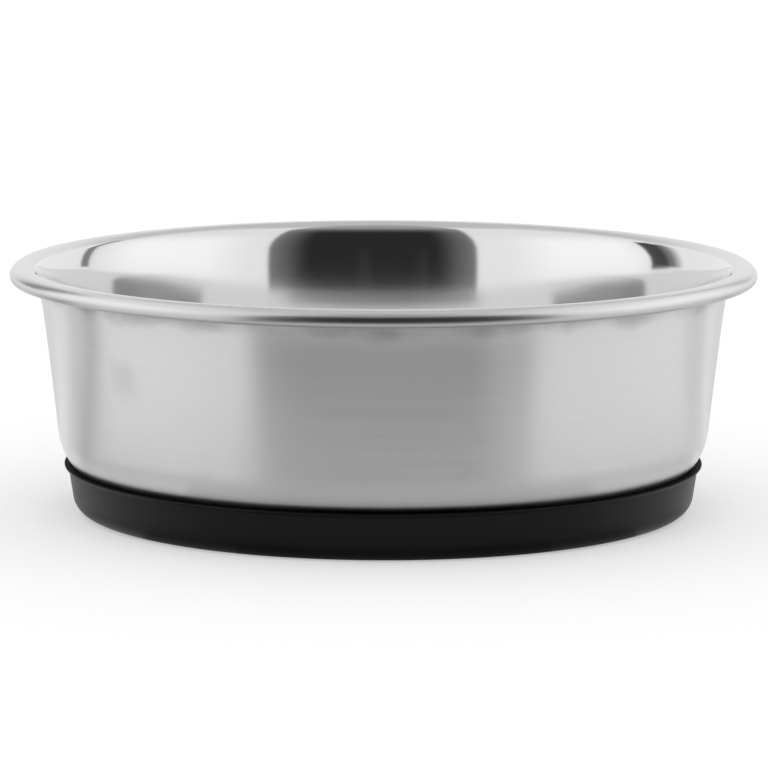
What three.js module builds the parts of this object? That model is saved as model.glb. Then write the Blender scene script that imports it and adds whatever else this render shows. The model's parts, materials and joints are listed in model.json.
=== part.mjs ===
// Stainless steel pet bowl: a deep-drawn steel bowl with a rolled rim, bonded into a rubber ring.
// Millimetres, +Z up. The origin is the centre of the ring's foot, on the surface it stands on.

import * as THREE from 'three';

const degrees = THREE.MathUtils.degToRad;

// Overall
const rimDiameter = 210;
const bowlHeight = 70;

// Steel bowl
const sheetThickness = 0.8;
const wallDraft = degrees(7.2);
const floorHeight = 7.3; // underside of the floor above the table, at the heel
const floorCrown = 0.8; // the middle of the floor stands this much higher
const heelRadius = 16.5; // food side of the bend between floor and wall

// Rolled rim
const flareRadius = 6.2; // food side of the bend that turns the wall outwards
const flareOverrun = degrees(7.5); // how far the flare runs on past the highest point
const rollRadius = 2.35; // outside of the hollow roll
const rollMouth = 0.7; // slot between the cut edge and the underside of the flare

// Rubber ring
const ringHeight = 13.7;
const ringDraft = degrees(7.4);
const footCorner = 5; // rounding from the foot to the outer wall
const footUndercut = 1.5; // rounding from the foot to the bore
const lipReach = 2.35; // the lip's edge beyond the steel
const lipOverhang = 1.2; // the lip's edge beyond the ring's own wall
const lipThickness = 0.8;
const flangeReach = 6; // how far the ring runs in under the flat of the floor
const seatClearance = 0.3; // between steel and rubber, and between steel and bond

// Bond between ring and heel
const bondWidth = 9.5; // measured round the heel
const bondThickness = 1;
const bondSetback = 1.5; // from the lowest point of the heel, measured round the heel
const bondClearance = 0.3; // between the bond and its channel in the rubber

// Fineness
const turnSteps = 80;
const floorSteps = 2;
const heelSteps = 6;
const flareSteps = 4;
const rollSteps = 3;
const curlSteps = 7;
const cornerSteps = 4;
const lipSteps = 3;
const seatSteps = 2;
const bondSteps = 3;

// The bowl's bends share these centres on both faces of the sheet. x is the radius and y the height.
const outerHeel = heelRadius + sheetThickness;
const floorTop = floorHeight + sheetThickness;
const rollOffset = flareRadius - rollRadius;
const flareCentre = new THREE.Vector2(
  rimDiameter / 2 - rollRadius - rollOffset * Math.sin(flareOverrun),
  bowlHeight - flareRadius,
);
const rollCentre = new THREE.Vector2(
  flareCentre.x + rollOffset * Math.sin(flareOverrun),
  flareCentre.y + rollOffset * Math.cos(flareOverrun),
);
const heelCentre = heelCentrePoint();

// The rubber seat and the bond both run round the heel at this radius from its centre
const seatRadius = outerHeel + seatClearance;
const bondLow = -Math.PI / 2 + bondSetback / seatRadius;
const bondHigh = bondLow + bondWidth / seatRadius;

function heelCentrePoint() {
  const height = floorTop + heelRadius;
  const fall = (flareCentre.y - height) * Math.sin(wallDraft);
  const inset = (fall + flareRadius + heelRadius) / Math.cos(wallDraft);
  return new THREE.Vector2(flareCentre.x - inset, height);
}

function pointAt(centre, radius, angle) {
  return new THREE.Vector2(centre.x + radius * Math.cos(angle), centre.y + radius * Math.sin(angle));
}

function arc(centre, radius, from, to, steps) {
  const points = [];
  for (let i = 0; i <= steps; i += 1) {
    points.push(pointAt(centre, radius, THREE.MathUtils.lerp(from, to, i / steps)));
  }
  return points;
}

// Outer face of the steel at a height between the floor and the flare
function steelRadiusAt(height) {
  const drop = heelCentre.y - height;
  if (drop > outerHeel * Math.sin(wallDraft)) {
    return heelCentre.x + Math.sqrt(outerHeel ** 2 - drop ** 2);
  }
  return heelCentre.x + (outerHeel - drop * Math.sin(wallDraft)) / Math.cos(wallDraft);
}

// Turns a closed outline, or one that starts and ends on the axis, into a solid of revolution about Z
function revolve(outline) {
  const geometry = new THREE.LatheGeometry(outline, turnSteps);
  geometry.rotateX(Math.PI / 2);
  return geometry;
}

function steelFinish() {
  return new THREE.MeshStandardMaterial({ color: 0xc4c5c6, roughness: 0.3, metalness: 1 });
}

function rubberFinish() {
  return new THREE.MeshStandardMaterial({ color: 0x161616, roughness: 0.55, metalness: 0 });
}

function bondFinish() {
  return new THREE.MeshStandardMaterial({ color: 0x2b2a28, roughness: 0.7, metalness: 0 });
}

// Where the roll ends: its cut edge stands off the underside of the flare by the mouth
function rollEndAngle() {
  const reach = flareRadius - sheetThickness - rollMouth;
  const cosine = (reach ** 2 - rollOffset ** 2 - rollRadius ** 2) / (2 * rollOffset * rollRadius);
  const start = Math.PI / 2 - flareOverrun;
  return start + Math.acos(cosine) - 2 * Math.PI;
}

// One face of the sheet from the middle of the floor to the cut edge in the roll.
// depth is 0 on the food side and the sheet's thickness on the other.
function sheetFace(depth) {
  const floor = [];
  for (let i = 0; i < floorSteps; i += 1) {
    const share = i / floorSteps;
    floor.push(new THREE.Vector2(heelCentre.x * share, floorTop - depth + floorCrown * (1 - share ** 2)));
  }
  const heel = arc(heelCentre, heelRadius + depth, -Math.PI / 2, -wallDraft, heelSteps);
  const flare = arc(flareCentre, flareRadius - depth, Math.PI - wallDraft, Math.PI / 2, flareSteps);
  const roll = arc(rollCentre, rollRadius - depth, Math.PI / 2 - flareOverrun, 0, rollSteps);
  const curl = arc(rollCentre, rollRadius - depth, 0, rollEndAngle(), curlSteps);
  return [...floor, ...heel, ...flare, ...roll, ...curl.slice(1)];
}

function bowlShell() {
  const outline = [...sheetFace(sheetThickness), ...sheetFace(0).reverse()];
  return new THREE.Mesh(revolve(outline), steelFinish());
}

function bondBead() {
  const steelSide = arc(heelCentre, seatRadius, bondHigh, bondLow, bondSteps);
  const rubberSide = arc(heelCentre, seatRadius + bondThickness, bondLow, bondHigh, bondSteps);
  const outline = [...rubberSide, ...steelSide, rubberSide[0]];
  return new THREE.Mesh(revolve(outline), bondFinish());
}

// Foot, rounded corner, drafted wall and the coved lip, from the bore outwards
function ringOutside(boreRadius) {
  const lipRadius = steelRadiusAt(ringHeight) + lipReach;
  const noseRadius = lipThickness / 2;
  const coveRadius = lipOverhang - noseRadius;
  const wallRadiusAt = (height) => lipRadius - lipOverhang - (ringHeight - height) * Math.tan(ringDraft);
  const corner = new THREE.Vector2(wallRadiusAt(footCorner) - footCorner / Math.cos(ringDraft), footCorner);
  const cove = new THREE.Vector2(lipRadius - noseRadius, ringHeight - lipThickness - coveRadius);
  const nose = new THREE.Vector2(lipRadius - noseRadius, ringHeight - noseRadius);
  const bore = new THREE.Vector2(boreRadius + footUndercut, footUndercut);
  return [
    ...arc(bore, footUndercut, -Math.PI, -Math.PI / 2, lipSteps),
    ...arc(corner, footCorner, -Math.PI / 2, -ringDraft, cornerSteps),
    ...arc(cove, coveRadius, Math.PI - ringDraft, Math.PI / 2, lipSteps),
    ...arc(nose, noseRadius, -Math.PI / 2, Math.PI / 2, lipSteps).slice(1),
  ];
}

// The seat follows the heel down from the lip, with a channel for the bond, then runs in to the bore
function ringSeat(boreRadius) {
  const channelRadius = seatRadius + bondThickness + bondClearance;
  const endGap = bondClearance / seatRadius;
  const seatTop = Math.asin((ringHeight - heelCentre.y) / seatRadius);
  const channelTop = bondHigh + endGap;
  const channelFoot = bondLow - endGap;
  return [
    ...arc(heelCentre, seatRadius, seatTop, channelTop, seatSteps),
    ...arc(heelCentre, channelRadius, channelTop, channelFoot, bondSteps),
    pointAt(heelCentre, seatRadius, channelFoot),
    pointAt(heelCentre, seatRadius, -Math.PI / 2),
    new THREE.Vector2(boreRadius, floorHeight - seatClearance),
  ];
}

function baseRing() {
  const boreRadius = heelCentre.x - flangeReach;
  const outside = ringOutside(boreRadius);
  const outline = [...outside, ...ringSeat(boreRadius), outside[0]];
  return new THREE.Mesh(revolve(outline), rubberFinish());
}

const bowl = new THREE.Group();
bowl.name = 'pet_bowl';

const pieces = { bowl_shell: bowlShell, base_ring: baseRing, bond_bead: bondBead };
for (const [name, make] of Object.entries(pieces)) {
  const mesh = make();
  mesh.name = name;
  bowl.add(mesh);
}

export default bowl;
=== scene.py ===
import json
import math

import bpy
from mathutils import Matrix, noise

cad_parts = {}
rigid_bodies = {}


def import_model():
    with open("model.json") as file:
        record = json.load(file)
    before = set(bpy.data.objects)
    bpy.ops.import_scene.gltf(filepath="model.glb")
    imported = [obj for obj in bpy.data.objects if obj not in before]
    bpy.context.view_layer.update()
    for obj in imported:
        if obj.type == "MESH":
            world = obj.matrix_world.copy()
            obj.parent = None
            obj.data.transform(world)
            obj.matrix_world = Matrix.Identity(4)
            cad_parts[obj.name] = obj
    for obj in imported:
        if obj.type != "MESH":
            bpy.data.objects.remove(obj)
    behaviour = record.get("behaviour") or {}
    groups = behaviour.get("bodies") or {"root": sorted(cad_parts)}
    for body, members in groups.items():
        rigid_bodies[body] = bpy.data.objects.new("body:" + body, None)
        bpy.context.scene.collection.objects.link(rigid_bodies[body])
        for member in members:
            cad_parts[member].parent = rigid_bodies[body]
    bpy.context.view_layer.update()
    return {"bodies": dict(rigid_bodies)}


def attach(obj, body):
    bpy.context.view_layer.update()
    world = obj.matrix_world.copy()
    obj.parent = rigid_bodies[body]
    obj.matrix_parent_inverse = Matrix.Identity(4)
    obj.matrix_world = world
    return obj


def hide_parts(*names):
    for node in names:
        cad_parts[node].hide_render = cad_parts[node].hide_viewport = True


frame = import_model()
bodyName = list(frame["bodies"])[0]
mm = 0.001
print("stage: frame loaded")


# Camera, at the photograph's height, distance and slight roll
cameraSettings = {
    "distance": 1.3727,  # from the bowl's axis
    "height": 0.2409,
    "pitchDeg": 8.524,  # below level
    "rollDeg": 0.10,
    "focalMm": 230.2,
    "sensorMm": 36,
    "aimRight": 0.0002,
    "clip": (0.05, 60),
}


def addCamera(settings):
    data = bpy.data.cameras.new("photoCamera")
    data.sensor_width = settings["sensorMm"]
    data.lens = settings["focalMm"]
    data.clip_start, data.clip_end = settings["clip"]
    camera = bpy.data.objects.new("photoCamera", data)
    tilt = Matrix.Rotation(math.radians(90 - settings["pitchDeg"]), 4, "X")
    roll = Matrix.Rotation(math.radians(settings["rollDeg"]), 4, "Z")
    place = Matrix.Translation((settings["aimRight"], -settings["distance"], settings["height"]))
    camera.matrix_world = place @ tilt @ roll
    bpy.context.scene.collection.objects.link(camera)
    bpy.context.scene.camera = camera


addCamera(cameraSettings)


# Mesh helpers. An outline point is (radius, height, finish slot), in metres.
sharpDeg = 40  # bends tighter than this from face to face keep a crisp edge


def arcPoints(centre, radius, startDeg, endDeg, steps, finish):
    points = []
    for i in range(steps + 1):
        angle = math.radians(startDeg + (endDeg - startDeg) * i / steps)
        points.append((centre[0] + radius * math.cos(angle), centre[1] + radius * math.sin(angle), finish))
    return points


def addMesh(name, verts, faces, materials):
    mesh = bpy.data.meshes.new(name)
    mesh.from_pydata(verts, [], faces)
    for material in materials:
        mesh.materials.append(material)
    piece = bpy.data.objects.new(name, mesh)
    bpy.context.scene.collection.objects.link(piece)
    return piece


def revolve(name, outline, turnSteps, materials, closed, shift):
    verts, rings = [], []
    for radius, height, finish in outline:
        if radius < 1e-9:
            rings.append([len(verts)] * turnSteps)
            verts.append((0, 0, height))
            continue
        ring = []
        for j in range(turnSteps):
            turn = 2 * math.pi * j / turnSteps
            r, z = shift(radius, height, turn)
            ring.append(len(verts))
            verts.append((r * math.cos(turn), r * math.sin(turn), z))
        rings.append(ring)
    pairs = [(a, a + 1) for a in range(len(rings) - 1)]
    if closed:
        pairs.append((len(rings) - 1, 0))
    faces, finishes = [], []
    for a, b in pairs:
        for j in range(turnSteps):
            k = (j + 1) % turnSteps
            faces.append(list(dict.fromkeys([rings[a][j], rings[a][k], rings[b][k], rings[b][j]])))
            finishes.append(outline[a][2])
    piece = addMesh(name, verts, faces, materials)
    mesh = piece.data
    mesh.polygons.foreach_set("material_index", finishes)
    mesh.polygons.foreach_set("use_smooth", [True] * len(faces))
    mesh.validate()
    mesh.set_sharp_from_angle(angle=math.radians(sharpDeg))
    return piece


# Shader helpers
def newMaterial(name):
    material = bpy.data.materials.new(name)
    material.use_nodes = True
    tree = material.node_tree
    return material, tree.nodes, tree.links, tree.nodes["Principled BSDF"]


def plug(links, value, socket):
    if isinstance(value, (int, float)):
        socket.default_value = value
    else:
        links.new(value, socket)


def mathNode(nodes, links, operation, *values):
    node = nodes.new("ShaderNodeMath")
    node.operation = operation
    for socket, value in zip(node.inputs, values):
        plug(links, value, socket)
    return node.outputs[0]


def addScaled(nodes, links, value, amount, base):
    return mathNode(nodes, links, "MULTIPLY_ADD", value, amount, base)


def smoothRamp(nodes, links, value, low, high, outLow, outHigh):
    node = nodes.new("ShaderNodeMapRange")
    node.interpolation_type = "SMOOTHSTEP"
    plug(links, value, node.inputs["Value"])
    plug(links, low, node.inputs["From Min"])
    plug(links, high, node.inputs["From Max"])
    plug(links, outLow, node.inputs["To Min"])
    plug(links, outHigh, node.inputs["To Max"])
    return node.outputs["Result"]


def noiseNode(nodes, links, vector, scale, detail, rough=0.5):
    node = nodes.new("ShaderNodeTexNoise")
    node.inputs["Scale"].default_value = scale
    node.inputs["Detail"].default_value = detail
    node.inputs["Roughness"].default_value = rough
    links.new(vector, node.inputs["Vector"])
    return node.outputs["Fac"]


def greyFrom(nodes, links, shade, socket):
    grey = nodes.new("ShaderNodeCombineColor")
    for channel in grey.inputs[:3]:
        links.new(shade, channel)
    links.new(grey.outputs[0], socket)


def bumpFrom(nodes, links, height, strength, distance, socket):
    bump = nodes.new("ShaderNodeBump")
    bump.inputs["Strength"].default_value = strength
    bump.inputs["Distance"].default_value = distance
    links.new(height, bump.inputs["Height"])
    links.new(bump.outputs[0], socket)


def newGroup(name, inputs, outputs):
    group = bpy.data.node_groups.new(name, "ShaderNodeTree")
    for key, default in inputs.items():
        socket = group.interface.new_socket(key, in_out="INPUT", socket_type="NodeSocketFloat")
        socket.default_value = default
    for key in outputs:
        group.interface.new_socket(key, in_out="OUTPUT", socket_type="NodeSocketFloat")
    source = group.nodes.new("NodeGroupInput")
    sink = group.nodes.new("NodeGroupOutput")
    return group, source.outputs, sink.inputs


def placeGroup(nodes, group, **values):
    node = nodes.new("ShaderNodeGroup")
    node.node_tree = group
    for key, value in values.items():
        node.inputs[key].default_value = value
    return node.outputs


# Fine lines left by turning against a belt: they run round the bowl, so they vary along its profile
def turnedLinesGroup():
    group, given, made = newGroup("turnedLines", {"Spacing": 0.25, "Length": 40}, ("Lines", "Bands"))
    nodes, links = group.nodes, group.links
    parts = nodes.new("ShaderNodeSeparateXYZ")
    links.new(nodes.new("ShaderNodeTexCoord").outputs["Object"], parts.inputs[0])
    x, y, z = parts.outputs
    squares = [mathNode(nodes, links, "MULTIPLY", side, side) for side in (x, y)]
    radius = mathNode(nodes, links, "SQRT", mathNode(nodes, links, "ADD", *squares))
    along = mathNode(nodes, links, "SUBTRACT", z, radius)
    across = mathNode(nodes, links, "DIVIDE", 1000, given["Spacing"])
    around = mathNode(nodes, links, "DIVIDE", 1000, given["Length"])
    vector = nodes.new("ShaderNodeCombineXYZ")
    links.new(mathNode(nodes, links, "MULTIPLY", x, around), vector.inputs[0])
    links.new(mathNode(nodes, links, "MULTIPLY", y, around), vector.inputs[1])
    links.new(mathNode(nodes, links, "MULTIPLY", along, across), vector.inputs[2])
    fine = noiseNode(nodes, links, vector.outputs[0], scale=1, detail=3, rough=0.6)
    wide = noiseNode(nodes, links, vector.outputs[0], scale=0.12, detail=2)
    links.new(mathNode(nodes, links, "SUBTRACT", fine, 0.5), made["Lines"])
    links.new(mathNode(nodes, links, "SUBTRACT", wide, 0.5), made["Bands"])
    return group


# Faint handling marks and dried water: soft patches of slightly duller metal
def handlingGroup():
    group, given, made = newGroup("handlingMarks", {"Size": 18, "Cover": 0.6}, ("Marks", "Haze"))
    nodes, links = group.nodes, group.links
    scaled = nodes.new("ShaderNodeVectorMath")
    scaled.operation = "SCALE"
    links.new(nodes.new("ShaderNodeTexCoord").outputs["Object"], scaled.inputs[0])
    links.new(mathNode(nodes, links, "DIVIDE", 1000, given["Size"]), scaled.inputs["Scale"])
    patches = noiseNode(nodes, links, scaled.outputs[0], scale=1, detail=4, rough=0.55)
    softEdge = 0.12
    top = mathNode(nodes, links, "ADD", given["Cover"], softEdge)
    links.new(smoothRamp(nodes, links, patches, given["Cover"], top, 0, 1), made["Marks"])
    haze = noiseNode(nodes, links, scaled.outputs[0], scale=0.35, detail=2)
    links.new(mathNode(nodes, links, "SUBTRACT", haze, 0.5), made["Haze"])
    return group


# A zone by height with a soft and wavy lower edge, used to place painted shade on the steel
def wavyZoneGroup():
    group, given, made = newGroup("wavyZone", {"Foot": 0, "Top": 1, "Wave": 1}, ("Zone",))
    nodes, links = group.nodes, group.links
    place = nodes.new("ShaderNodeTexCoord").outputs["Object"]
    parts = nodes.new("ShaderNodeSeparateXYZ")
    links.new(place, parts.inputs[0])
    slow = noiseNode(nodes, links, place, scale=70, detail=2)
    wave = mathNode(nodes, links, "SUBTRACT", slow, 0.5)
    height = mathNode(nodes, links, "MULTIPLY", parts.outputs[2], 1000)
    height = addScaled(nodes, links, wave, given["Wave"], height)
    links.new(smoothRamp(nodes, links, height, given["Foot"], given["Top"], 0, 1), made["Zone"])
    return group


# One soft smudge, round a spot given in millimetres
def smudgeGroup():
    keys = {"X": 0, "Y": 0, "Z": 0, "Size": 5}
    group, given, made = newGroup("smudge", keys, ("Smudge",))
    nodes, links = group.nodes, group.links
    place = nodes.new("ShaderNodeTexCoord").outputs["Object"]
    spot = nodes.new("ShaderNodeCombineXYZ")
    for key, socket in zip("XYZ", spot.inputs):
        links.new(mathNode(nodes, links, "MULTIPLY", given[key], mm), socket)
    away = nodes.new("ShaderNodeVectorMath")
    away.operation = "DISTANCE"
    links.new(place, away.inputs[0])
    links.new(spot.outputs[0], away.inputs[1])
    grain = noiseNode(nodes, links, place, scale=260, detail=4, rough=0.6)
    uneven = addScaled(nodes, links, grain, 1.2, 0.4)  # 1 at the middle of the noise
    awayMm = mathNode(nodes, links, "MULTIPLY", away.outputs["Value"], 1000)
    reach = mathNode(nodes, links, "MULTIPLY", awayMm, uneven)
    links.new(smoothRamp(nodes, links, reach, 0, given["Size"], 1, 0), made["Smudge"])
    return group


turnedLines = turnedLinesGroup()
handlingMarks = handlingGroup()
wavyZone = wavyZoneGroup()
smudgeMark = smudgeGroup()
print("stage: helpers and shared effects")


# Steel: one recipe, satin for the outside, bright for the inside and turned more coarsely on the rim
satinSteelSettings = {
    "name": "satinSteelOutside",
    "colour": 0.655,
    "roughness": 0.315,
    "anisotropic": 0.88,
    "lineSpacing": 0.4,
    "lineBump": 0.016,
    "lineRough": 0.12,
    "lineShade": 0.07,
    "bandRough": 0.06,
    "markSize": 16,
    "markCover": 0.66,
    "markShade": 0.025,
    "haze": 0.06,
    # painted shade under the rolled rim, in a band with a wavy lower edge
    "zone": {"Foot": 60.5, "Top": 66.5, "Wave": 9},
    "zoneShade": 0.42,
    # painted shade low on the wall, where the steel meets the rubber lip
    "paintedShadeBelow": 0.75,
    "shadeBelowZone": {"Foot": 14.0, "Top": 15.8, "Wave": 0.5},
    "smudges": [
        {"X": -70, "Y": -63, "Z": 46, "Size": 9},
        {"X": -46, "Y": -77, "Z": 23, "Size": 3},
        {"X": -48, "Y": -83, "Z": 47, "Size": 1.8},
    ],
    "smudgeShade": 0.09,
}
polishedSteelSettings = {
    "name": "polishedSteelInside",
    "colour": 0.78,
    "roughness": 0.085,
    "anisotropic": 0.5,
    "lineSpacing": 0.6,
    "lineBump": 0.003,
    "lineRough": 0.02,
    "lineShade": 0.03,
    "bandRough": 0.015,
    "markSize": 26,
    "markCover": 0.64,
    "markShade": 0.015,
    "haze": 0.03,
}
turnedSteelSettings = {
    "name": "turnedSteelRim",
    "colour": 0.72,
    "roughness": 0.29,
    "anisotropic": 0.15,
    "lineSpacing": 0.5,
    "lineBump": 0.006,
    "lineRough": 0.05,
    "lineShade": 0.05,
    "bandRough": 0.02,
    "markSize": 14,
    "markCover": 0.62,
    "markShade": 0.03,
    "haze": 0.04,
    # painted shade on the lower side of the rim's bead
    "paintedShadeBelow": 0.34,
    "shadeBelowZone": {"Foot": 66.0, "Top": 68.3, "Wave": 0.4},
}
allSteelSettings = {
    "blurTurn": 0.25,  # the blur runs across the turned lines
    "bandShade": 0.02,
    "bumpDistance": 0.2 * mm,
}


def steelMaterial(settings):
    settings = {**allSteelSettings, **settings}
    material, nodes, links, shader = newMaterial(settings["name"])
    shader.inputs["Metallic"].default_value = 1
    shader.inputs["Anisotropic"].default_value = settings["anisotropic"]
    shader.inputs["Anisotropic Rotation"].default_value = settings["blurTurn"]
    tangent = nodes.new("ShaderNodeTangent")
    tangent.direction_type = "RADIAL"
    tangent.axis = "Z"
    links.new(tangent.outputs[0], shader.inputs["Tangent"])
    lines = placeGroup(nodes, turnedLines, Spacing=settings["lineSpacing"])
    marks = placeGroup(nodes, handlingMarks, Size=settings["markSize"], Cover=settings["markCover"])
    rough = addScaled(nodes, links, lines["Lines"], settings["lineRough"], settings["roughness"])
    rough = addScaled(nodes, links, lines["Bands"], settings["bandRough"], rough)
    rough = addScaled(nodes, links, marks["Marks"], settings["markShade"], rough)
    links.new(rough, shader.inputs["Roughness"])
    shade = addScaled(nodes, links, marks["Marks"], -settings["markShade"], settings["colour"])
    shade = addScaled(nodes, links, marks["Haze"], settings["haze"], shade)
    shade = addScaled(nodes, links, lines["Bands"], settings["bandShade"], shade)
    shade = addScaled(nodes, links, lines["Lines"], settings["lineShade"], shade)
    # painted shade: darkens the colour in the band under the rim
    if "zone" in settings:
        zone = placeGroup(nodes, wavyZone, **settings["zone"])["Zone"]
        keep = addScaled(nodes, links, zone, -settings["zoneShade"], 1)
        shade = mathNode(nodes, links, "MULTIPLY", shade, keep)
    # painted shade: darkens the colour below this zone, beside the rubber lip or under the rim's bead
    if "shadeBelowZone" in settings:
        clear = placeGroup(nodes, wavyZone, **settings["shadeBelowZone"])["Zone"]
        keep = addScaled(nodes, links, clear, settings["paintedShadeBelow"], 1 - settings["paintedShadeBelow"])
        shade = mathNode(nodes, links, "MULTIPLY", shade, keep)
    for smudge in settings.get("smudges", []):
        spot = placeGroup(nodes, smudgeMark, **smudge)["Smudge"]
        shade = addScaled(nodes, links, spot, -settings["smudgeShade"], shade)
    greyFrom(nodes, links, shade, shader.inputs["Base Color"])
    normal = shader.inputs["Normal"]
    bumpFrom(nodes, links, lines["Lines"], settings["lineBump"], settings["bumpDistance"], normal)
    return material


satinSteel = steelMaterial(satinSteelSettings)
polishedSteel = steelMaterial(polishedSteelSettings)
turnedSteel = steelMaterial(turnedSteelSettings)


# Steel bowl. The wall leans out faster and faster towards the rim, which is a flattened hollow roll.
bowlShape = {
    "rimRadius": 105 * mm,
    "height": 70 * mm,
    "sheet": 0.8 * mm,
    "floorHeight": 7.3 * mm,
    "floorCrown": 0.8 * mm,
    "heelRadius": 16.5 * mm,
    # the wall's lean in degrees at these depths below the top, from the flare down to the heel
    "leans": [(6.75, 12.4), (9.7, 9.8), (12.7, 7.9), (16.1, 7.2), (20.9, 6.9), (48, 6.3)],
    # radius of each arc of the rim, and the direction its last point faces
    "rimArcs": [(17.65, 151.5), (4.05, 38), (2.3, -15), (1.5, -100), (3.4, -168)],
    "turnedFromDeg": 135,  # the turned finish starts where the rim faces this way
    "turnSteps": 384,
    "floorSteps": 10,
    "heelSteps": 16,
    "wallStep": 0.5 * mm,
    "rimStepDeg": 6,
    "waviness": 0.04 * mm,
    "waves": [(3, 0.5, 0.7), (5, 0.3, 2.1), (9, 0.2, 0)],  # waves per turn, share, start in radians
}


def wallLean(shape, depth):
    leans = shape["leans"]
    if depth <= leans[0][0]:
        return leans[0][1]
    for (above, upper), (below, lower) in zip(leans, leans[1:]):
        if depth <= below:
            return upper + (lower - upper) * (depth - above) / (below - above)
    return leans[-1][1]


def wallPoints(shape, top):
    # worked out from the flare down, and given back from the heel up
    x, z = top
    heelTurn = math.radians(shape["leans"][-1][1])
    foot = shape["floorHeight"] + shape["sheet"] + shape["heelRadius"] * (1 - math.sin(heelTurn))
    steps = round((z - foot) / shape["wallStep"])
    drop = (z - foot) / steps
    points = [(x, z, 180 - wallLean(shape, (shape["height"] - z) / mm))]
    for i in range(steps):
        middle = (shape["height"] - z + drop / 2) / mm
        x -= drop * math.tan(math.radians(wallLean(shape, middle)))
        z -= drop
        points.append((x, z, 180 - wallLean(shape, (shape["height"] - z) / mm)))
    return points[::-1]


def rimPoints(shape, start):
    # a chain of arcs from the top of the wall over the rim to the cut edge; each point knows where it faces
    x, z, facing = start
    points = []
    for radiusMm, endDeg in shape["rimArcs"]:
        radius = radiusMm * mm
        turn = math.radians(facing)
        centre = (x - radius * math.cos(turn), z - radius * math.sin(turn))
        steps = max(4, round(abs(facing - endDeg) / shape["rimStepDeg"]))
        for i in range(1, steps + 1):
            angle = facing + (endDeg - facing) * i / steps
            turn = math.radians(angle)
            points.append((centre[0] + radius * math.cos(turn), centre[1] + radius * math.sin(turn), angle))
        x, z, facing = points[-1]
    return points


def foodFace(shape):
    lean = shape["leans"][0][1]
    roll = rimPoints(shape, (0, 0, 180 - lean))
    x = shape["rimRadius"] - max(point[0] for point in roll)
    z = shape["height"] - max(point[1] for point in roll)
    wall = wallPoints(shape, (x, z))
    rim = [(x + point[0], z + point[1], point[2]) for point in roll]
    heelDeg = shape["leans"][-1][1]
    heelX = wall[0][0] - shape["heelRadius"] * math.cos(math.radians(heelDeg))
    centre = (heelX, shape["floorHeight"] + shape["sheet"] + shape["heelRadius"])
    floor = []
    for i in range(shape["floorSteps"]):
        share = i / shape["floorSteps"]
        height = centre[1] - shape["heelRadius"] + shape["floorCrown"] * (1 - share ** 2)
        floor.append((heelX * share, height, 90))
    heel = []
    for i in range(shape["heelSteps"]):
        angle = -90 + (90 - heelDeg) * i / shape["heelSteps"]
        out = shape["heelRadius"] * math.cos(math.radians(angle))
        up = shape["heelRadius"] * math.sin(math.radians(angle))
        heel.append((heelX + out, centre[1] + up, angle + 180))
    return floor + heel + wall, rim, centre


foodSide, rimSide, heelCentre = foodFace(bowlShape)


def sheetFace(depth, finish):
    # one face of the sheet, this deep below the food side
    points = []
    for x, z, facing in foodSide + rimSide:
        turn = math.radians(facing)
        points.append((max(0, x - depth * math.cos(turn)), z - depth * math.sin(turn), finish))
    return points


def bowlWave(radius, height, turn):
    # a drawn wall is never quite round: a few slow waves, strongest halfway up
    amount = bowlShape["waviness"] * math.sin(math.pi * min(1, max(0, height / bowlShape["height"])))
    wave = sum(share * math.sin(count * turn + start) for count, share, start in bowlShape["waves"])
    return radius + amount * wave * min(1, radius / heelCentre[0]), height


def addSteelBowl(shape):
    finishes = [satinSteel, polishedSteel, turnedSteel]
    satin, polished, turned = range(len(finishes))
    outside = sheetFace(shape["sheet"], satin)
    inside = sheetFace(0, polished)
    for i, (x, z, facing) in enumerate(rimSide[1:], len(foodSide) + 1):
        if facing < shape["turnedFromDeg"]:
            inside[i] = (x, z, turned)
    outline = outside + inside[::-1]
    outline[len(outside) - 1] = (*outside[-1][:2], turned)  # the cut edge
    bowl = revolve("steelBowl", outline, shape["turnSteps"], finishes, False, bowlWave)
    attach(bowl, bodyName)
    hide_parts("bowl_shell")


addSteelBowl(bowlShape)
print("stage: steel bowl")


# Rubber ring
rubberSettings = {
    "name": "blackRubber",
    "colour": 0.0035,
    "specular": 0.16,
    "roughness": 0.40,
    "grain": 0.25,
    "dust": 0.004,
}
creviceSettings = {
    "name": "mattRubberTop",
    "colour": 0.0035,
    "specular": 0.03,
    "roughness": 0.6,
    "grain": 0.3,
    "dust": 0.002,
}
ringShape = {
    "height": 13.7 * mm,
    "draftDeg": 7.4,
    "footCorner": 5 * mm,
    "footUndercut": 1.5 * mm,
    "lipReach": 2.17 * mm,
    "lipOverhang": 1.2 * mm,
    "lipThickness": 0.8 * mm,
    "flangeReach": 6 * mm,
    "seatGap": 0.12 * mm,
    "channelDepth": 1.5 * mm,
    "channelTopDeg": -52.5,
    "channelFootDeg": -86.5,
    "turnSteps": 384,
    "flash": 0.12 * mm,
    "flashSpots": 40,  # fineness of the ragged edge
}


def rubberMaterial(settings):
    material, nodes, links, shader = newMaterial(settings["name"])
    shader.inputs["Specular IOR Level"].default_value = settings["specular"]
    place = nodes.new("ShaderNodeTexCoord").outputs["Object"]
    grain = noiseNode(nodes, links, place, scale=1400, detail=4, rough=0.6)
    patches = noiseNode(nodes, links, place, scale=45, detail=3)
    spread = 0.14  # of the roughness, from patch to patch
    rough = addScaled(nodes, links, patches, spread, settings["roughness"] - spread / 2)
    links.new(rough, shader.inputs["Roughness"])
    shade = addScaled(nodes, links, patches, settings["dust"], settings["colour"])
    greyFrom(nodes, links, shade, shader.inputs["Base Color"])
    grainDepth = 0.05 * mm
    bumpFrom(nodes, links, grain, settings["grain"], grainDepth, shader.inputs["Normal"])
    return material


def steelRadiusAt(height):
    outer = bowlShape["heelRadius"] + bowlShape["sheet"]
    return heelCentre[0] + math.sqrt(outer ** 2 - (heelCentre[1] - height) ** 2)


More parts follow.
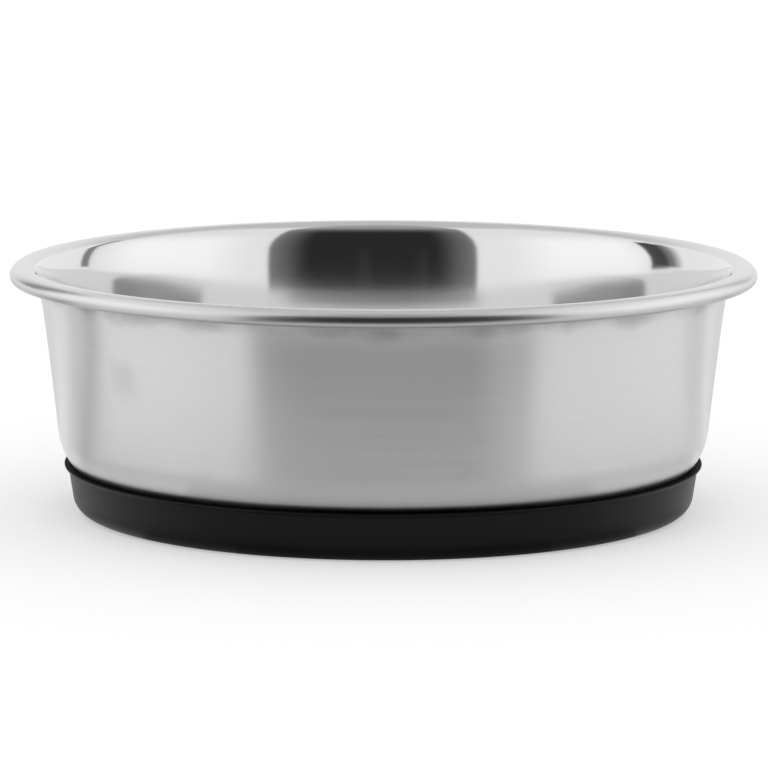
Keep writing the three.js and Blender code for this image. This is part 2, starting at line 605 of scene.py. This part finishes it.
def ringOutline(shape):
    lipRadius = steelRadiusAt(shape["height"]) + shape["lipReach"]
    nose = shape["lipThickness"] / 2
    cove = shape["lipOverhang"] - nose
    draft = math.radians(shape["draftDeg"])
    corner = shape["footCorner"]
    wallAtCorner = lipRadius - shape["lipOverhang"] - (shape["height"] - corner) * math.tan(draft)
    cornerCentre = (wallAtCorner - corner / math.cos(draft), corner)
    coveCentre = (lipRadius - nose, shape["height"] - shape["lipThickness"] - cove)
    noseCentre = (lipRadius - nose, shape["height"] - nose)
    bore = heelCentre[0] - shape["flangeReach"]
    undercut = shape["footUndercut"]
    seat = bowlShape["heelRadius"] + bowlShape["sheet"] + shape["seatGap"]
    channel = seat + shape["channelDepth"]
    seatTop = math.degrees(math.asin((shape["height"] - heelCentre[1]) / seat))
    top, foot = shape["channelTopDeg"], shape["channelFootDeg"]
    black, matt = 0, 1
    outline = arcPoints((bore + undercut, undercut), undercut, -180, -90, 5, black)
    outline += arcPoints(cornerCentre, corner, -90, -shape["draftDeg"], 14, black)
    outline += arcPoints(coveCentre, cove, 180 - shape["draftDeg"], 90, 8, black)
    outline += arcPoints(noseCentre, nose, -90, 30, 5, black)[1:-1]
    outline += arcPoints(noseCentre, nose, 30, 90, 3, matt)
    outline += arcPoints(heelCentre, seat, seatTop, top, 6, matt)
    outline += arcPoints(heelCentre, channel, top, foot, 8, matt)
    outline += arcPoints(heelCentre, seat, foot, -90, 1, matt)
    outline.append((bore, bowlShape["floorHeight"] - shape["seatGap"], black))
    return outline


def ringFlash(radius, height, turn):
    # the moulded lip's edge is slightly ragged where the flash was trimmed
    lipLow = ringShape["height"] - 2 * ringShape["lipThickness"]
    share = min(1, max(0, (height - lipLow) / ringShape["lipThickness"]))
    share *= min(1, max(0, (radius - steelRadiusAt(ringShape["height"])) / ringShape["lipReach"]))
    x, y = ringShape["flashSpots"] * math.cos(turn), ringShape["flashSpots"] * math.sin(turn)
    finer = 2.3
    ragged = noise.noise((x, y, 0)) + 0.5 * noise.noise((x * finer, y * finer, 4))
    return radius + ringShape["flash"] * share * min(0, ragged), height


def addRubberRing(shape):
    finishes = [rubberMaterial(rubberSettings), rubberMaterial(creviceSettings)]
    ring = revolve("rubberRing", ringOutline(shape), shape["turnSteps"], finishes, True, ringFlash)
    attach(ring, bodyName)
    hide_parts("base_ring")


addRubberRing(ringShape)
print("stage: rubber ring")


# Bond between rubber and steel
bondShape = {
    "thickness": 1.2 * mm,
    "startDeg": -85,
    "endDeg": -54,
    "turnSteps": 192,
    "steelGap": 0.05 * mm,
    "uneven": 0.1 * mm,
    "colour": 0.02,
    "colourSpread": 0.02,
    "roughness": 0.6,
}


def bondMaterial(settings):
    material, nodes, links, shader = newMaterial("curedBond")
    place = nodes.new("ShaderNodeTexCoord").outputs["Object"]
    lumps = noiseNode(nodes, links, place, scale=300, detail=3)
    shade = addScaled(nodes, links, lumps, settings["colourSpread"], settings["colour"])
    greyFrom(nodes, links, shade, shader.inputs["Base Color"])
    shader.inputs["Roughness"].default_value = settings["roughness"]
    return material


def addBond(shape):
    inner = bowlShape["heelRadius"] + bowlShape["sheet"] + shape["steelGap"]
    outline = arcPoints(heelCentre, inner + shape["thickness"], shape["startDeg"], shape["endDeg"], 8, 0)
    outline += arcPoints(heelCentre, inner, shape["endDeg"], shape["startDeg"], 8, 0)

    def lumpy(radius, height, turn):
        spot = (12 * math.cos(turn), 12 * math.sin(turn), 200 * height)
        depth = math.hypot(radius - heelCentre[0], height - heelCentre[1]) - inner
        share = depth / shape["thickness"]
        return radius - shape["uneven"] * share * abs(noise.noise(spot)), height

    bond = revolve("bondLine", outline, shape["turnSteps"], [bondMaterial(shape)], True, lumpy)
    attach(bond, bodyName)
    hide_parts("bond_bead")


addBond(bondShape)
print("stage: bond")


# Studio: a round tent of white cloth with an open front, which only gloss sees. Angles are in degrees
# from the camera's side, lengths in metres. Each panel lies over the ones before it.
tentSettings = {
    "radius": 0.4,
    "height": 1.0,
    "sides": 96,
    "cloth": 0.92,
    "panels": [  # azimuth, half width, foot, top, soft edge, fade, level
        (0, 200, -1, 0.4, 3, 0.12, 0.97),  # lower cloth all round
        (-88, 27, 0.06, 0.4, 14, 0.12, 1.15),  # brighter sides
        (92, 28, 0.06, 0.4, 14, 0.12, 1.15),
        (180, 46, 0.055, 2, 5, 0.02, 0.65),  # back: greyer at the top and at the floor
        (180, 46, -1, 0.36, 5, 0.08, 0.98),
        (180, 46, -1, 0.055, 5, 0.02, 0.88),
        (0, 200, 0.97, 2, 3, 0.03, 0.68),  # roof
        (4.4, 41.6, 0.3, 2, 0.8, 0.05, 0.38),  # open front with its dark middle
        (4.4, 41.6, -1, 0.62, 0.8, 0.14, 0.19),
        (4.4, 33, -1, 0.62, 9, 0.14, 0.025),
        (7.5, 2, -1, 0.19, 1.6, 0.03, 0.038),  # two faint streaks in it
        (-15.5, 2, -1, 0.19, 1.6, 0.03, 0.038),
        (-129.3, 5.5, 0.108, 0.33, 5, 0.004, 0.18),  # dark strips at the back of both sides
        (-123, 5.2, 0.108, 0.35, 1, 0.004, 0.07),
        (137.4, 2.7, 0.108, 0.4, 1, 0.004, 0.24),
    ],
    # what a second reflection meets: two turned faces in a row blur the tent into a few soft zones
    "softCloth": 1.0,
    "softPanels": [
        (5, 43, -1, 0.32, 3, 0.15, 0.37),
        (3, 14, -1, 0.32, 13, 0.15, 0.43),
        (180, 82, 0.5, 2, 8, 0.08, 0.05),
    ],
}
# Floor cards are sectors lying on the floor, seen by gloss only. The contact and shade cards stand for the
# shadow that the bowl itself throws round its foot.
floorSettings = {
    "size": 14,
    "drop": 0.05 * mm,  # keeps it off the foot's face
    "colour": 0.6,
    "roughness": 0.9,
    "glow": 0.42,
    "cardHeight": 0.2 * mm,
    "cardSteps": 48,
    "cards": [  # name, azimuth, half width, near, far, level
        ("contactCard", 2.2, 30, 0.077, 0.094, 0.2),
        ("contactLeft", -39, 11.2, 0.077, 0.094, 0.32),
        ("contactFarLeft", -64, 13.8, 0.077, 0.094, 0.6),
        ("contactRight", 43.4, 11.2, 0.077, 0.094, 0.32),
        ("contactFarRight", 68.4, 13.8, 0.077, 0.094, 0.6),
        ("shadeCard", 2.2, 46, 0.094, 0.135, 0.6),
        ("frontCard", -3.6, 33.2, 0.135, 0.22, 0.79),
        ("frontSoftCard", 33.9, 4.3, 0.135, 0.22, 0.88),
        ("frontEdgeCard", 43, 4.8, 0.135, 0.22, 0.95),
        ("frontFarCard", -4.3, 32.3, 0.22, 0.4, 0.3),
        ("farSoftCard", 35.5, 7.5, 0.22, 0.4, 0.64),
        ("backCard", 180, 46, 0.116, 0.4, 0.82),
        ("leftCard", -98.5, 5, 0.13, 0.4, 0.4),
        ("leftSoftCard", -110, 5, 0.13, 0.4, 0.7),
        ("rightCard", 114, 9, 0.13, 0.4, 0.75),
        ("sideShadeLeft", -69.4, 25.6, 0.106, 0.14, 0.62),
        ("sideShadeRight", 75.2, 27, 0.106, 0.14, 0.62),
    ],
}


def panelMaskGroup():
    keys = {"Azimuth": 0, "HalfWidth": 20, "Foot": 0, "Top": 1, "Edge": 4, "Fade": 0.01}
    group, given, made = newGroup("tentPanel", keys, ("Mask",))
    nodes, links = group.nodes, group.links
    parts = nodes.new("ShaderNodeSeparateXYZ")
    links.new(nodes.new("ShaderNodeTexCoord").outputs["Object"], parts.inputs[0])
    x, y, z = parts.outputs
    turn = mathNode(nodes, links, "ARCTAN2", x, mathNode(nodes, links, "MULTIPLY", y, -1))
    away = mathNode(nodes, links, "SUBTRACT", mathNode(nodes, links, "DEGREES", turn), given["Azimuth"])
    wrapped = mathNode(nodes, links, "ABSOLUTE", mathNode(nodes, links, "WRAP", away, 180, -180))
    inner = mathNode(nodes, links, "SUBTRACT", given["HalfWidth"], given["Edge"])
    outer = mathNode(nodes, links, "ADD", given["HalfWidth"], given["Edge"])
    mask = smoothRamp(nodes, links, wrapped, inner, outer, 1, 0)
    back = mathNode(nodes, links, "MULTIPLY", given["Fade"], -1)
    above = mathNode(nodes, links, "SUBTRACT", z, given["Foot"])
    below = mathNode(nodes, links, "SUBTRACT", given["Top"], z)
    for side in (above, below):
        faded = smoothRamp(nodes, links, side, back, given["Fade"], 0, 1)
        mask = mathNode(nodes, links, "MULTIPLY", mask, faded)
    links.new(mask, made["Mask"])
    return group


def glowingMaterial(name):
    material, nodes, links, shader = newMaterial(name)
    shader.inputs["Base Color"].default_value = (0, 0, 0, 1)
    shader.inputs["Specular IOR Level"].default_value = 0
    shader.inputs["Emission Color"].default_value = (1, 1, 1, 1)
    material.cycles.emission_sampling = "NONE"
    return material, nodes, links, shader


def onlyInGloss(prop):
    prop.visible_camera = False
    prop.visible_diffuse = False
    prop.visible_shadow = False


def panelLevels(nodes, links, mask, level, panels):
    for azimuth, halfWidth, foot, top, edge, fade, panelLevel in panels:
        made = placeGroup(nodes, mask, Azimuth=azimuth, HalfWidth=halfWidth, Foot=foot, Top=top,
                          Edge=edge, Fade=fade)
        mix = nodes.new("ShaderNodeMix")
        links.new(made["Mask"], mix.inputs["Factor"])
        plug(links, level, mix.inputs["A"])
        mix.inputs["B"].default_value = panelLevel
        level = mix.outputs["Result"]
    return level


def addTent(settings):
    cloth, nodes, links, shader = glowingMaterial("tentCloth")
    mask = panelMaskGroup()
    first = panelLevels(nodes, links, mask, settings["cloth"], settings["panels"])
    soft = panelLevels(nodes, links, mask, settings["softCloth"], settings["softPanels"])
    bounces = nodes.new("ShaderNodeLightPath").outputs["Ray Depth"]
    mix = nodes.new("ShaderNodeMix")
    links.new(mathNode(nodes, links, "GREATER_THAN", bounces, 1.5), mix.inputs["Factor"])
    links.new(first, mix.inputs["A"])
    links.new(soft, mix.inputs["B"])
    links.new(mix.outputs["Result"], shader.inputs["Emission Strength"])
    sides, radius = settings["sides"], settings["radius"]
    verts = [(0, 0, settings["height"])]
    for height in (0, settings["height"]):
        for j in range(sides):
            turn = 2 * math.pi * j / sides
            verts.append((radius * math.cos(turn), radius * math.sin(turn), height))
    faces = []
    for j in range(sides):
        a, b = 1 + j, 1 + (j + 1) % sides
        faces.append((a, b, b + sides, a + sides))
        faces.append((a + sides, b + sides, 0))
    onlyInGloss(addMesh("lightTent", verts, faces, [cloth]))


def addCard(name, azimuth, halfWidth, near, far, level):
    material, nodes, links, shader = glowingMaterial(name + "Paper")
    shader.inputs["Emission Strength"].default_value = level
    steps = floorSettings["cardSteps"]
    verts, faces = [], []
    for j in range(steps + 1):
        turn = math.radians(azimuth + halfWidth * (2 * j / steps - 1))
        for size in (near, far):
            verts.append((size * math.sin(turn), -size * math.cos(turn), floorSettings["cardHeight"]))
    for j in range(steps):
        a = 2 * j
        faces.append((a, a + 1, a + 3, a + 2))
    onlyInGloss(addMesh(name, verts, faces, [material]))


def addFloor(settings):
    white, nodes, links, shader = newMaterial("whiteFloor")
    shader.inputs["Base Color"].default_value = (settings["colour"],) * 3 + (1,)
    shader.inputs["Roughness"].default_value = settings["roughness"]
    shader.inputs["Specular IOR Level"].default_value = 0
    shader.inputs["Emission Color"].default_value = (1, 1, 1, 1)
    path = nodes.new("ShaderNodeLightPath").outputs
    seen = mathNode(nodes, links, "MAXIMUM", path["Is Camera Ray"], path["Is Glossy Ray"])
    seen = mathNode(nodes, links, "MAXIMUM", seen, path["Is Transmission Ray"])
    # from below the floor is clear, so that the underside can be looked at
    behind = nodes.new("ShaderNodeNewGeometry").outputs["Backfacing"]
    links.new(mathNode(nodes, links, "SUBTRACT", 1, behind), shader.inputs["Alpha"])
    links.new(mathNode(nodes, links, "MULTIPLY", seen, settings["glow"]), shader.inputs["Emission Strength"])
    white.cycles.emission_sampling = "NONE"
    half = settings["size"] / 2
    low = -settings["drop"]
    corners = [(-half, -half, low), (half, -half, low), (half, half, low), (-half, half, low)]
    addMesh("studioFloor", corners, [(0, 1, 2, 3)], [white])


def lightWorld():
    world = bpy.data.worlds.new("whiteStudio")
    bpy.context.scene.world = world
    world.use_nodes = True
    background = world.node_tree.nodes["Background"]
    background.inputs["Color"].default_value = (1, 1, 1, 1)
    background.inputs["Strength"].default_value = 1
    world.cycles_visibility.glossy = False  # gloss sees the tent instead


lightWorld()
addTent(tentSettings)
addFloor(floorSettings)
for card in floorSettings["cards"]:
    addCard(*card)
bpy.context.scene.view_settings.view_transform = "Standard"
print("stage: studio")
